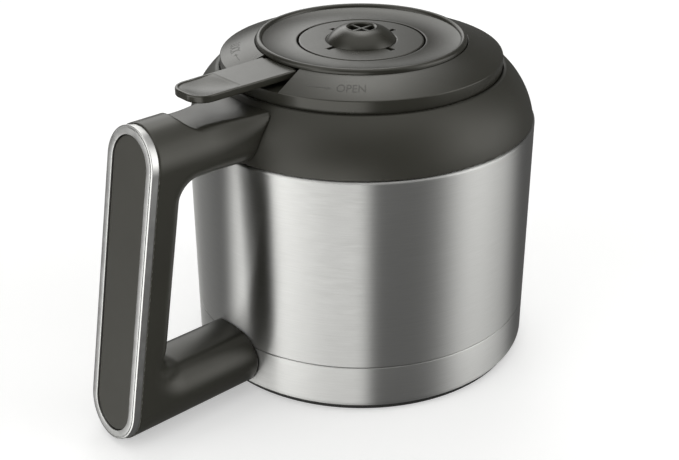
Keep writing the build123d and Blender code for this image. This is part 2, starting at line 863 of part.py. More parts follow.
# Funnel ring: rim bead, dished top and the guide for the valve disc
dish_outer = bead_centre_radius - bead_radius
dish_middle = ((dish_outer + dish_inner_radius) / 2, (bead_centre_height + disc_top) / 2 - dish_sag)
guide_bottom = disc_bottom + fit / 2
funnel_inner = funnel_radius - funnel_wall
slot_half_width = arm_half_width + fit + ear_thickness + slide_fit
with BuildPart() as lid_funnel:
    with BuildSketch(Plane.XZ):
        with BuildLine():
            Line((funnel_radius, insert_top), (funnel_radius, bead_centre_height))
            ThreePointArc(
                (funnel_radius, bead_centre_height),
                (bead_centre_radius, bead_centre_height + bead_radius),
                (dish_outer, bead_centre_height),
            )
            ThreePointArc(
                (dish_outer, bead_centre_height),
                dish_middle,
                (dish_inner_radius, disc_top),
            )
            Polyline(
                (dish_inner_radius, disc_top),
                (dish_inner_radius, guide_bottom),
                (dish_inner_radius + funnel_wall, guide_bottom),
                (dish_inner_radius + funnel_wall, disc_top - dish_wall - dish_sag / 2),
            )
            ThreePointArc(
                (dish_inner_radius + funnel_wall, disc_top - dish_wall - dish_sag / 2),
                (dish_middle[0], dish_middle[1] - dish_wall),
                (funnel_inner, bead_centre_height - dish_wall - bead_radius / 2),
            )
            Polyline(
                (funnel_inner, bead_centre_height - dish_wall - bead_radius / 2),
                (funnel_inner, insert_top),
                (funnel_radius, insert_top),
            )
        make_face()
    revolve(axis=Axis.Z)
    # Slot under the rim for the lever
    with BuildSketch(Plane.XY.offset(insert_top - cut_margin)):
        with Locations((-funnel_radius, 0)):
            Rectangle(2 * (funnel_radius - pivot_x), 2 * slot_half_width)
    extrude(amount=lever_top + fit - insert_top + cut_margin, mode=Mode.SUBTRACT)
lid_funnel.part.label = "lid_funnel"
export_step(lid_funnel.part, "parts/lid_funnel.step")

# Lid insert: plate, chamber, drain floor, locking lugs and the pivot ears of the lever
stem_bore = stem_radius + slide_fit
plate_radius = lid_radius - lid_wall - fit
chamber_radius = insert_radius - insert_wall
head_inner = insert_head_radius - insert_head_wall
groove_radius = insert_radius - gasket_groove
groove_bottom = gasket_bottom - fit
groove_top = gasket_bottom + gasket_height + fit
with BuildPart() as lid_insert:
    with BuildSketch(Plane.XZ):
        with BuildLine():
            Polyline(
                (stem_bore, lid_base),
                (stem_bore, insert_top),
                (plate_radius, insert_top),
                (plate_radius, lid_base),
                (insert_head_radius, lid_base),
                (insert_head_radius, insert_head_bottom),
                (insert_radius, insert_head_bottom),
                (insert_radius, groove_top),
                (groove_radius, groove_top),
                (groove_radius, groove_bottom),
                (insert_radius, groove_bottom),
                (insert_radius, insert_bottom),
                (drain_radius, insert_bottom),
                (drain_radius, insert_floor_top),
                (chamber_radius, insert_floor_top),
                (chamber_radius, insert_head_bottom + insert_step),
                (head_inner, insert_head_bottom + insert_step),
                (head_inner, lid_base),
                close=True,
            )
        make_face()
    revolve(axis=Axis.Z)
    # Locking lugs
    with BuildSketch(Plane.XY.offset(lug_bottom)):
        for angle in lock_angles:
            add(sector(angle, lug_angle / 2, insert_head_radius - weld_overlap, lug_radius))
    extrude(amount=lug_height)
    # Pouring window towards the spout
    with BuildSketch(Plane.XY.offset(insert_head_bottom + insert_step)):
        with Locations((insert_head_radius, 0)):
            Rectangle(4 * insert_head_wall, 2 * spout_half_width)
    extrude(amount=insert_head_height - insert_step, mode=Mode.SUBTRACT)
    # Pivot ears
    ear_middle = arm_half_width + fit + ear_thickness / 2
    with BuildSketch(Plane.XY.offset(lid_base)):
        with Locations((-pivot_x, ear_middle), (-pivot_x, -ear_middle)):
            Rectangle(2 * ear_half_length, ear_thickness)
    extrude(amount=pivot_height + ear_half_length - lid_base)
    with BuildSketch(Plane.XZ.offset(-slot_half_width)):
        with Locations((-pivot_x, pivot_height)):
            Circle(pin_radius + pin_fit)
    extrude(amount=2 * slot_half_width, mode=Mode.SUBTRACT)
    # Counterbored screw holes
    with BuildSketch(Plane.XY.offset(lid_base)):
        with Locations(*post_spots):
            Circle(lid_screw_radius + fit)
    extrude(amount=insert_plate, mode=Mode.SUBTRACT)
    with BuildSketch(Plane.XY.offset(lid_base)):
        with Locations(*post_spots):
            Circle(lid_screw_head_radius + pin_fit)
    extrude(amount=lid_screw_head_height, mode=Mode.SUBTRACT)
lid_insert.part.label = "lid_insert"
export_step(lid_insert.part, "parts/lid_insert.step")

# Lid screws, driven up into the cover's posts
with BuildPart() as lid_screws:
    with BuildSketch(Plane.XY.offset(lid_base)):
        with Locations(*post_spots):
            Circle(lid_screw_head_radius)
    extrude(amount=lid_screw_head_height)
    with BuildSketch(Plane.XY.offset(lid_base + lid_screw_head_height)):
        with Locations(*post_spots):
            Circle(lid_screw_radius)
    extrude(amount=lid_screw_length - lid_screw_head_height)
lid_screws.part.label = "lid_screws"
export_step(lid_screws.part, "parts/lid_screws.step")

# Lid gasket: the ring that grips the steel neck
with BuildPart() as lid_gasket:
    with BuildSketch(Plane.XY.offset(gasket_bottom)):
        Circle(mouth_radius - fit)
        Circle(groove_radius + fit, mode=Mode.SUBTRACT)
    extrude(amount=gasket_height)
    chamfer(lid_gasket.edges().sort_by(SortBy.LENGTH)[-2:], gasket_groove / 3)
lid_gasket.part.label = "lid_gasket"
export_step(lid_gasket.part, "parts/lid_gasket.step")

# Lever pin
with BuildPart() as lever_pin:
    with BuildSketch(Plane.XZ.offset(-slot_half_width + fit)):
        with Locations((-pivot_x, pivot_height)):
            Circle(pin_radius)
    extrude(amount=2 * (slot_half_width - fit))
lever_pin.part.label = "lever_pin"
export_step(lever_pin.part, "parts/lever_pin.step")

# Lever outline seen from above, used for the lever and for its thumb pad
lever_root_x = funnel_radius + slide_fit
tip_shoulder = lever_reach - lever_tip_corner - fit
with BuildSketch() as lever_plan:
    with BuildLine():
        Polyline(
            (-lever_root_x, -lever_root_half_width),
            (-tip_shoulder, -lever_tip_half_width),
            (-lever_reach, -lever_tip_half_width),
            (-lever_reach, lever_tip_half_width),
            (-tip_shoulder, lever_tip_half_width),
            (-lever_root_x, lever_root_half_width),
            close=True,
        )
    make_face()
    fillet(lever_plan.vertices().group_by(Axis.X)[0], lever_tip_corner)

# Thumb pad: a hollow with a straight crease, inside a raised border
pad_run = pad_low_point - pad_crease
pad_radius = (pad_run**2 + pad_depth**2) / (2 * pad_depth)
with BuildPart() as pad_hollow:
    with BuildSketch(Plane.XY.offset(lever_top - 2 * pad_depth)):
        add(lever_plan.sketch)
        offset(amount=-pad_border)
        with Locations((-pad_crease + lever_reach / 2, 0)):
            Rectangle(lever_reach, 4 * lever_root_half_width, mode=Mode.SUBTRACT)
    extrude(amount=3 * pad_depth)
    with BuildSketch(Plane.XZ.offset(-lever_root_half_width)):
        with Locations((-pad_low_point, lever_top - pad_depth + pad_radius)):
            Circle(pad_radius)
    extrude(amount=2 * lever_root_half_width, mode=Mode.INTERSECT)

# Lever: thumb plate, neck under the rim, and the arm that lifts the valve
with BuildPart() as lever_plate:
    with BuildSketch(Plane.XY.offset(lever_bottom)):
        add(lever_plan.sketch)
    extrude(amount=lever_thickness)
    top_edges = lever_plate.faces().sort_by(Axis.Z)[-1].edges()
    fillet(top_edges.filter_by_position(Axis.X, -lever_reach - fit, -lever_root_x - pin_fit), lever_edge)
    add(pad_hollow.part, mode=Mode.SUBTRACT)
with BuildPart() as lever:
    with BuildSketch(Plane.XZ.offset(-arm_half_width)):
        with BuildLine():
            Polyline(
                (-lever_root_x - cut_margin, lever_bottom),
                (-lever_root_x - cut_margin, lever_top),
                (-lever_root_x, lever_top),
                (-pivot_x - pivot_back, lever_top - neck_drop),
                (-pivot_x + pivot_front, lever_top - neck_drop),
                (-pivot_x + pivot_front + arm_ramp, arm_top),
                (-arm_end, arm_top),
                (-arm_end, arm_bottom),
                (-pivot_x - pivot_back + arm_chamfer, arm_bottom),
                (-pivot_x - pivot_back, arm_bottom + arm_chamfer),
                (-pivot_x - pivot_back, lever_bottom),
                close=True,
            )
        make_face()
    extrude(amount=2 * arm_half_width)
    add(lever_plate.part)
    with BuildSketch(Plane.XZ.offset(-lever_root_half_width)):
        with Locations((-pivot_x, pivot_height)):
            Circle(pin_radius + pin_fit)
    extrude(amount=2 * lever_root_half_width, mode=Mode.SUBTRACT)
lever.part.label = "lever"
export_step(lever.part, "parts/lever.step")

# Valve disc: dished round the nose in four places, with a slot between each two
scoop_ball_radius = (scoop_reach**2 + scoop_depth**2) / (2 * scoop_depth)
nose_seat = disc_top - nose_skirt
with BuildPart() as valve_disc:
    with BuildSketch(Plane.XY.offset(disc_bottom)):
        Circle(disc_radius)
        Circle(stem_radius - stem_wall, mode=Mode.SUBTRACT)
    extrude(amount=disc_height)
    chamfer(valve_disc.faces().sort_by(Axis.Z)[-1].edges().sort_by(SortBy.LENGTH)[-1], disc_edge)
    with PolarLocations(scoop_centre_radius, 4, start_angle=45):
        with Locations((0, 0, disc_top - scoop_depth + scoop_ball_radius)):
            Sphere(scoop_ball_radius, mode=Mode.SUBTRACT)
    with BuildSketch(Plane.XY.offset(nose_seat)):
        Circle(nose_radius + weld_fit)
    extrude(amount=nose_skirt + cut_margin, mode=Mode.SUBTRACT)
    with BuildSketch(Plane.XY.offset(nose_seat)):
        with PolarLocations(nose_radius + notch_length / 2 - weld_overlap, 4):
            Rectangle(notch_length + 2 * weld_overlap, notch_width)
    extrude(amount=nose_skirt + cut_margin, mode=Mode.SUBTRACT)
valve_disc.part.label = "valve_disc"
export_step(valve_disc.part, "parts/valve_disc.step")

# Brew nose: dome with a cross in its opening
nose_top = disc_top + nose_height
nose_bore = nose_top_radius - cross_width
with BuildPart() as brew_nose:
    with BuildSketch(Plane.XZ):
        with BuildLine():
            Line((nose_radius, nose_seat), (nose_radius, disc_top))
            ThreePointArc(
                (nose_radius, disc_top),
                (nose_radius - nose_shoulder_in, disc_top + nose_shoulder_rise),
                (nose_top_radius + nose_lip, nose_top - nose_lip_drop),
            )
            Polyline(
                (nose_top_radius + nose_lip, nose_top - nose_lip_drop),
                (nose_top_radius, nose_top),
                (nose_bore, nose_top - nose_bevel_drop),
                (nose_bore, nose_top - nose_wall),
                (stem_radius - stem_wall, nose_seat + nose_wall),
                (stem_radius - stem_wall, nose_seat),
                (nose_radius, nose_seat),
            )
        make_face()
    revolve(axis=Axis.Z)
    with BuildSketch(Plane.XY.offset(nose_top - nose_wall)):
        Rectangle(2 * nose_bore + weld_overlap, cross_width)
        Rectangle(cross_width, 2 * nose_bore + weld_overlap)
    extrude(amount=nose_wall - cross_drop)
brew_nose.part.label = "brew_nose"
export_step(brew_nose.part, "parts/brew_nose.step")

# Valve stem: brew tube, lifting flange and valve plate
with BuildPart() as valve_stem:
    with BuildSketch(Plane.XZ):
        with BuildLine():
            Polyline(
                (stem_radius - stem_wall, plate_bottom),
                (valve_plate_radius, plate_bottom),
                (valve_plate_radius, plate_top),
                (stem_radius, plate_top),
                (stem_radius, flange_bottom),
                (stem_flange_radius, flange_bottom),
                (stem_flange_radius, disc_bottom),
                (stem_radius - stem_wall, disc_bottom),
                close=True,
            )
        make_face()
    revolve(axis=Axis.Z)
valve_stem.part.label = "valve_stem"
export_step(valve_stem.part, "parts/valve_stem.step")

# Valve seal: rubber ring under the valve plate
with BuildPart() as valve_seal:
    with BuildSketch(Plane.XY.offset(seal_bottom)):
        Circle(valve_plate_radius + fit)
        Circle(valve_plate_radius + fit - seal_width, mode=Mode.SUBTRACT)
    extrude(amount=seal_height)
valve_seal.part.label = "valve_seal"
export_step(valve_seal.part, "parts/valve_seal.step")

# Valve spring: presses the valve down, from the insert's plate to the valve plate
spring_rise = lid_base - plate_top - 2 * spring_wire - 2 * weld_fit
with BuildPart() as valve_spring:
    with BuildLine():
        Helix(pitch=spring_rise / spring_turns, height=spring_rise, radius=spring_radius,
              center=(0, 0, plate_top + spring_wire + weld_fit))
    with BuildSketch(Plane(origin=(spring_radius, 0, plate_top + spring_wire + weld_fit), z_dir=(0, 1, 0))):
        Circle(spring_wire)
    sweep()
valve_spring.part.label = "valve_spring"
export_step(valve_spring.part, "parts/valve_spring.step")
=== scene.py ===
import math

import bmesh
import bpy
import numpy as np
from mathutils import Matrix, Vector


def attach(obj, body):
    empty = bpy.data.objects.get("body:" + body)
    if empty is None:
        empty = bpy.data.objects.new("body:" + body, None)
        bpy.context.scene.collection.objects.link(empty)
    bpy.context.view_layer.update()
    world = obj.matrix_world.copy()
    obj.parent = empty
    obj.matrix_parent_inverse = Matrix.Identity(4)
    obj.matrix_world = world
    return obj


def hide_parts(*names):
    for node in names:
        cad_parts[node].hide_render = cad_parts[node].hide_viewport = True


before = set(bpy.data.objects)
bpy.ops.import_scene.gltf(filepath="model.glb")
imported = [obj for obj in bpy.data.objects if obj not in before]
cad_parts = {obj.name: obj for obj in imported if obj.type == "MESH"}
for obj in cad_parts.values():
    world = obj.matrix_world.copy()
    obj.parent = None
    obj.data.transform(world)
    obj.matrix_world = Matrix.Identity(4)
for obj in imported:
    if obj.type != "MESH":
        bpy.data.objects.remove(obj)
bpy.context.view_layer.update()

MM = 0.001


def new_object(name, data):
    """A new object, linked to the scene."""
    item = bpy.data.objects.new(name, data)
    bpy.context.scene.collection.objects.link(item)
    return item


# Camera
EYE = Vector((-0.31945, -0.34224, 0.28968))
LOOK = Vector((0.5922, 0.6600, -0.4622)).normalized()
ROLL = math.radians(-0.25)
LENS = 63.57
SENSOR_WIDTH = 36.0


def add_camera():
    right = LOOK.cross(Vector((0, 0, 1))).normalized()
    up = right.cross(LOOK).normalized()
    turn = Matrix((right, up, -LOOK)).transposed()
    data = bpy.data.cameras.new("camera")
    data.lens = LENS
    data.sensor_width = SENSOR_WIDTH
    data.clip_start = 0.01
    data.clip_end = 50.0
    camera = new_object("camera", data)
    camera.matrix_world = Matrix.Translation(EYE) @ turn.to_4x4() @ Matrix.Rotation(ROLL, 4, "Z")
    bpy.context.scene.camera = camera


add_camera()


# Material helpers
def new_material(name):
    material = bpy.data.materials.new(name)
    material.use_nodes = True
    tree = material.node_tree
    return material, tree, tree.nodes["Principled BSDF"]


def coords(tree, kind="Object"):
    return tree.nodes.new("ShaderNodeTexCoord").outputs[kind]


def maths(tree, operation, one, two=None):
    """A math node; the inputs are sockets or numbers."""
    item = tree.nodes.new("ShaderNodeMath")
    item.operation = operation
    for k, value in enumerate((one, two)):
        if value is None:
            continue
        if isinstance(value, (int, float)):
            item.inputs[k].default_value = value
        else:
            tree.links.new(value, item.inputs[k])
    return item.outputs[0]


def ramp(tree, value, low, high, from_low, from_high, kind="LINEAR"):
    item = tree.nodes.new("ShaderNodeMapRange")
    item.interpolation_type = kind
    item.inputs["From Min"].default_value = from_low
    item.inputs["From Max"].default_value = from_high
    item.inputs["To Min"].default_value = low
    item.inputs["To Max"].default_value = high
    tree.links.new(value, item.inputs["Value"])
    return item.outputs["Result"]


def spread(tree, value, low, high):
    """The middle of a noise's range, spread between two values."""
    return ramp(tree, value, low, high, 0.3, 0.7)


def smooth_step(tree, value, low, high):
    """0 below low and 1 above high; the other way round where low is the larger."""
    ends = (0.0, 1.0) if low < high else (1.0, 0.0)
    return ramp(tree, value, *ends, min(low, high), max(low, high), "SMOOTHSTEP")


def noise(tree, vector, scale, detail, roughness=0.5):
    item = tree.nodes.new("ShaderNodeTexNoise")
    item.inputs["Scale"].default_value = scale
    item.inputs["Detail"].default_value = detail
    item.inputs["Roughness"].default_value = roughness
    tree.links.new(vector, item.inputs["Vector"])
    return item.outputs["Fac"]


def tint(tree, shader, value, first, second):
    """Base colour from the first tone to the second, by a value from 0 to 1."""
    item = tree.nodes.new("ShaderNodeMix")
    item.data_type = "RGBA"
    item.inputs[6].default_value = (*first, 1)
    item.inputs[7].default_value = (*second, 1)
    tree.links.new(value, item.inputs[0])
    tree.links.new(item.outputs[2], shader.inputs["Base Color"])


def bump(tree, shader, value, strength, distance):
    item = tree.nodes.new("ShaderNodeBump")
    item.inputs["Strength"].default_value = strength
    item.inputs["Distance"].default_value = distance
    tree.links.new(value, item.inputs["Height"])
    tree.links.new(item.outputs["Normal"], shader.inputs["Normal"])


def plastic(name, colour, light, rough, grain=0.25):
    """Moulded plastic: fine spark-eroded grain, slow colour drift and uneven gloss."""
    material, tree, shader = new_material(name)
    place = coords(tree)
    drift = noise(tree, place, 18.0, 3.0)
    fine = noise(tree, place, 2600.0, 2.0, 0.6)
    smear = noise(tree, place, 60.0, 5.0, 0.6)
    tint(tree, shader, spread(tree, drift, 0, 1), colour, light)
    tree.links.new(spread(tree, smear, rough - 0.03, rough + 0.04), shader.inputs["Roughness"])
    shader.inputs["Specular IOR Level"].default_value = 0.5
    shader.inputs["Specular Tint"].default_value = (1.0, 0.985, 0.93, 1)
    bump(tree, shader, fine, grain, 0.00004)
    return material


def round_axis(tree, across, along):
    """Coordinates wrapped round Z, with a scale across the axis and one per metre of height."""
    parts = tree.nodes.new("ShaderNodeSeparateXYZ")
    tree.links.new(coords(tree), parts.inputs[0])
    angle = maths(tree, "ARCTAN2", parts.outputs["Y"], parts.outputs["X"])
    joined = tree.nodes.new("ShaderNodeCombineXYZ")
    wrapped = (maths(tree, "COSINE", angle), maths(tree, "SINE", angle), parts.outputs["Z"])
    for k, value in enumerate(wrapped):
        tree.links.new(value, joined.inputs[k])
    mapping = tree.nodes.new("ShaderNodeMapping")
    mapping.inputs["Scale"].default_value = (across, across, along)
    tree.links.new(joined.outputs[0], mapping.inputs["Vector"])
    return mapping.outputs["Vector"]


def brushed(name, colour, light, rough, anisotropy, scratches):
    """Steel brushed round the axis: fine level scratches, with longer faint ones."""
    material, tree, shader = new_material(name)
    shader.inputs["Metallic"].default_value = 1.0
    shader.inputs["Anisotropic"].default_value = anisotropy
    shader.inputs["Anisotropic Rotation"].default_value = 0.25
    tangent = tree.nodes.new("ShaderNodeTangent")
    tangent.direction_type = "RADIAL"
    tangent.axis = "Z"
    tree.links.new(tangent.outputs["Tangent"], shader.inputs["Tangent"])
    streaks = noise(tree, round_axis(tree, *scratches), 1.0, 6.0, 0.7)
    broad = noise(tree, round_axis(tree, 9.0, 3000.0), 1.0, 3.0, 0.6)
    tint(tree, shader, spread(tree, streaks, 0, 1), colour, light)
    tree.links.new(spread(tree, broad, rough - 0.03, rough + 0.03), shader.inputs["Roughness"])
    bump(tree, shader, streaks, 0.1, 0.00002)
    return material


def metal(name, colour, light, rough, grain=0.1):
    """Plain metal: cloudy tone and gloss, with a fine grain."""
    material, tree, shader = new_material(name)
    shader.inputs["Metallic"].default_value = 1.0
    place = coords(tree)
    cloud = noise(tree, place, 300.0, 4.0, 0.6)
    tint(tree, shader, spread(tree, cloud, 0, 1), colour, light)
    tree.links.new(spread(tree, cloud, rough - 0.04, rough + 0.05), shader.inputs["Roughness"])
    bump(tree, shader, noise(tree, place, 3600.0, 2.0), grain, 0.00003)
    return material


# Materials
DARK = (0.0245, 0.0238, 0.0185)
DARK_LIGHT = (0.0295, 0.0288, 0.0225)
body_plastic = plastic("body_plastic", DARK, DARK_LIGHT, 0.40)
lid_plastic = plastic("lid_plastic_satin", DARK, DARK_LIGHT, 0.24)
handle_plastic = plastic("handle_plastic", DARK, DARK_LIGHT, 0.32)
panel_plastic = plastic("panel_plastic", (0.036, 0.035, 0.029), (0.041, 0.040, 0.033), 0.5)
inner_plastic = plastic("inner_plastic", (0.024, 0.024, 0.021), (0.032, 0.032, 0.028), 0.45)
rubber = plastic("black_rubber", (0.012, 0.012, 0.012), (0.018, 0.018, 0.018), 0.7, 0.5)
silicone = plastic("seal_silicone", (0.42, 0.41, 0.38), (0.48, 0.47, 0.44), 0.5, 0.2)
mark_plastic = plastic("mark_plastic", (0.018, 0.0175, 0.0145), (0.022, 0.0215, 0.0175), 0.40, 0.1)
steel = brushed("brushed_steel", (0.60, 0.60, 0.585), (0.70, 0.70, 0.69), 0.42, 1.0, (6.0, 9000.0))
liner_steel = brushed("liner_steel", (0.55, 0.55, 0.54), (0.62, 0.62, 0.61), 0.35, 0.6, (4.0, 2500.0))
trim_silver = metal("trim_silver", (0.60, 0.60, 0.59), (0.64, 0.64, 0.63), 0.34, 0.02)
screw_steel = metal("screw_steel", (0.50, 0.50, 0.50), (0.60, 0.60, 0.60), 0.25)
spring_steel = metal("spring_steel", (0.55, 0.55, 0.56), (0.62, 0.62, 0.63), 0.22)

CAD_LOOKS = {
    "outer_shell": steel, "base_cup": steel, "foot_ring": rubber, "getter": liner_steel,
    "flask_base": liner_steel, "inner_flask": liner_steel, "flask_neck": liner_steel,
    "collar": body_plastic, "neck_gasket": silicone, "handle_body": handle_plastic,
    "handle_trim": trim_silver, "grip_panel": panel_plastic, "lower_bracket": steel,
    "handle_screws": screw_steel, "lid_gasket": silicone, "lid_cover": lid_plastic,
    "lid_funnel": lid_plastic, "lid_insert": inner_plastic, "lid_screws": screw_steel,
    "lever_pin": screw_steel, "lever": lid_plastic, "valve_disc": lid_plastic,
    "brew_nose": lid_plastic, "valve_stem": inner_plastic, "valve_seal": silicone,
    "valve_spring": spring_steel,
}
for name, look in CAD_LOOKS.items():
    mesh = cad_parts[name].data
    mesh.materials.clear()
    mesh.materials.append(look)


# Mesh helpers
def add_object(name, mesh, body, material, replaces=(), sharp=32):
    """A finished piece: smooth with sharp edges kept, its material, its body and what it stands for."""
    mesh.materials.clear()
    mesh.materials.append(material)
    for polygon in mesh.polygons:
        polygon.use_smooth = True
    mesh.set_sharp_from_angle(angle=math.radians(sharp))
    item = new_object(name, mesh)
    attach(item, body)
    if replaces:
        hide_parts(*replaces)


def rounded(points, closed=True):
    """Points (x, y) or (x, y, radius) in mm: corners with a radius become arcs."""
    out = []
    count = len(points)
    for i, point in enumerate(points):
        here = np.array(point[:2], float)
        radius = point[2] if len(point) > 2 else 0.0
        if radius <= 0 or (not closed and i in (0, count - 1)):
            out.append(tuple(here))
            continue
        before = np.array(points[i - 1][:2], float) - here
        after = np.array(points[(i + 1) % count][:2], float) - here
        before /= np.linalg.norm(before)
        after /= np.linalg.norm(after)
        half = math.acos(max(-1.0, min(1.0, float(before @ after)))) / 2
        if half > math.radians(89.5):
            out.append(tuple(here))
            continue
        run = radius / math.tan(half)
        middle = before + after
        middle /= np.linalg.norm(middle)
        centre = here + middle * radius / math.sin(half)
        first = here + before * run - centre
        last = here + after * run - centre
        # points no further apart than 15 degrees or 1.4 mm
        sweep = math.pi - 2 * half
        turns = max(2, math.ceil(max(sweep / math.radians(15), sweep * radius / 1.4)))
        side = 1.0 if first[0] * last[1] - first[1] * last[0] > 0 else -1.0
        angle = math.atan2(first[1], first[0])
        for k in range(turns + 1):
            a = angle + side * sweep * k / turns
            out.append((centre[0] + radius * math.cos(a), centre[1] + radius * math.sin(a)))
    return out


def arc(start, middle, end, count):
    """Points of the arc through three points, without its last point."""
    (ax, ay), (bx, by), (cx, cy) = start, middle, end
    d = 2 * (ax * (by - cy) + bx * (cy - ay) + cx * (ay - by))
    a2, b2, c2 = ax**2 + ay**2, bx**2 + by**2, cx**2 + cy**2
    ux = (a2 * (by - cy) + b2 * (cy - ay) + c2 * (ay - by)) / d
    uy = (a2 * (cx - bx) + b2 * (ax - cx) + c2 * (bx - ax)) / d
    radius = math.hypot(ax - ux, ay - uy)
    first, through, last = (math.atan2(y - uy, x - ux) for x, y in (start, middle, end))
    turn = (last - first) % (2 * math.pi)
    if (through - first) % (2 * math.pi) > turn:
        turn -= 2 * math.pi
    angles = [first + turn * k / count for k in range(count)]
    return [(ux + radius * math.cos(a), uy + radius * math.sin(a)) for a in angles]


def side_faces(work, one, two, closed=True):
    """Quads between two rows of points."""
    n = len(one)
    for i in range(n if closed else n - 1):
        j = (i + 1) % n
        work.faces.new((one[i], one[j], two[j], two[i]))


def finished_mesh(name, work):
    """A mesh of the faces made so far, with their normals turned outwards."""
    bmesh.ops.recalc_face_normals(work, faces=work.faces)
    mesh = bpy.data.meshes.new(name)
    work.to_mesh(mesh)
    work.free()
    return mesh


def lathe_mesh(name, profile, segments=320, start=0.0, sweep=360.0):
    """Turns a closed profile of (radius, height) in mm round Z. A part turn gets end caps."""
    whole = sweep == 360.0
    spans = segments if whole else max(2, int(segments * sweep / 360.0))
    work = bmesh.new()
    rings = []
    for k in range(spans if whole else spans + 1):
        a = math.radians(start + sweep * k / spans)
        c, s = math.cos(a) * MM, math.sin(a) * MM
        rings.append([work.verts.new((r * c, r * s, z * MM)) for r, z in profile])
    for k in range(spans):
        side_faces(work, rings[k], rings[(k + 1) % len(rings)])
    if not whole:
        work.faces.new(rings[0])
        work.faces.new(list(reversed(rings[-1])))
    bmesh.ops.remove_doubles(work, verts=work.verts, dist=1e-7)
    return finished_mesh(name, work)


def slab_mesh(name, bottom, top):
    """Two outlines of points in metres, with sides between them."""
    work = bmesh.new()
    low = [work.verts.new(point) for point in bottom]
    high = [work.verts.new(point) for point in top]
    side_faces(work, low, high)
    work.faces.new(list(reversed(low)))
    work.faces.new(high)
    return finished_mesh(name, work)


def mesh_of(item):
    """The mesh of an object, with its modifiers applied."""
    bpy.context.view_layer.update()
    graph = bpy.context.evaluated_depsgraph_get()
    return bpy.data.meshes.new_from_object(item.evaluated_get(graph))


def boolean(mesh, tool, operation="DIFFERENCE"):
    """The first mesh cut by, or joined to, the second."""
    one = new_object("boolean_one", mesh)
    two = new_object("boolean_two", tool)
    modifier = one.modifiers.new("cut", "BOOLEAN")
    modifier.operation = operation
    modifier.solver = "EXACT"
    modifier.object = two
    done = mesh_of(one)
    done.name = mesh.name
    for item in (one, two):
        bpy.data.objects.remove(item)
    return done


# Shapes from signed distances in mm, below zero inside
def inside_all(first, *others):
    """The part inside every shape, with sharp edges."""
    for other in others:
        first = np.maximum(first, other)
    return first


def round_both(a, b, r):
    """The part inside both shapes, with its shared edge rounded."""
    u, v = np.maximum(a + r, 0), np.maximum(b + r, 0)
    return np.minimum(-r, np.maximum(a, b)) + np.hypot(u, v)


def soft_either(a, b, k):
    """The two shapes together, blended where they meet."""
    h = np.clip(0.5 + 0.5 * (b - a) / k, 0, 1)
    return b + (a - b) * h - k * h * (1 - h)


def eased(t):
    """A smooth step from 0 to 1."""
    t = np.clip(t, 0, 1)
    return t * t * (3 - 2 * t)


def profile_distance(points, spacing=0.1, margin=2.0):
    """A function of (u, v) for the signed distance to a closed outline, read from a fine table."""
    shape = np.array(points, float)
    low = shape.min(0) - margin
    high = shape.max(0) + margin
    us = np.arange(low[0], high[0] + spacing, spacing)
    vs = np.arange(low[1], high[1] + spacing, spacing)
    U, V = np.meshgrid(us, vs, indexing="ij")
    best = np.full(U.shape, 1e9)
    inside = np.zeros(U.shape, bool)
    for i in range(len(shape)):
        a, b = shape[i - 1], shape[i]
        e = b - a
        length = float(e @ e)
        if length < 1e-12:
            continue
        t = np.clip(((U - a[0]) * e[0] + (V - a[1]) * e[1]) / length, 0, 1)
        best = np.minimum(best, (U - a[0] - t * e[0]) ** 2 + (V - a[1] - t * e[1]) ** 2)
        if abs(e[1]) > 1e-12:
            inside ^= ((a[1] > V) != (b[1] > V)) & (U < e[0] * (V - a[1]) / e[1] + a[0])
    table = np.sqrt(best) * np.where(inside, -1.0, 1.0)

    def distance(u, v):
        fu = np.clip((u - low[0]) / spacing, 0, len(us) - 1.001)
        fv = np.clip((v - low[1]) / spacing, 0, len(vs) - 1.001)
        iu, iv = fu.astype(int), fv.astype(int)
        du, dv = fu - iu, fv - iv
        value = (table[iu, iv] * (1 - du) * (1 - dv) + table[iu + 1, iv] * du * (1 - dv)
                 + table[iu, iv + 1] * (1 - du) * dv + table[iu + 1, iv + 1] * du * dv)
        over = np.hypot(np.maximum(low[0] - u, 0) + np.maximum(u - high[0], 0),
                        np.maximum(low[1] - v, 0) + np.maximum(v - high[1], 0))
        return value + over

    return distance


def sampled(shape, axes):
    """The shape's values on a grid, worked out in slices."""
    nx, ny, nz = (len(a) for a in axes)
    values = np.empty((nx, ny, nz), np.float32)
    Y, Z = np.meshgrid(axes[1], axes[2], indexing="ij")
    slices = max(1, int(400000 / (ny * nz)))
    for i in range(0, nx, slices):
        xs = axes[0][i:i + slices]
        X = np.broadcast_to(xs[:, None, None], (len(xs), ny, nz))
        values[i:i + slices] = shape(X, np.broadcast_to(Y, X.shape), np.broadcast_to(Z, X.shape))
    values[np.abs(values) < 1e-6] = 1e-6
    return values


def settled(shape, points, step):
    """The points moved onto the surface along the shape's slope."""
    small = 0.01
    for _ in range(3):
        value = shape(*points.T)
        slope = np.empty_like(points)
        for k in range(3):
            shift = np.zeros(3)
            shift[k] = small
            slope[:, k] = (shape(*(points + shift).T) - shape(*(points - shift).T)) / (2 * small)
        steepness = np.maximum((slope**2).sum(1), 0.25)
        move = slope * (value / steepness)[:, None]
        far = np.linalg.norm(move, axis=1)
        move *= np.minimum(1.0, 0.5 * step / np.maximum(far, 1e-9))[:, None]
        points = points - move
    return points


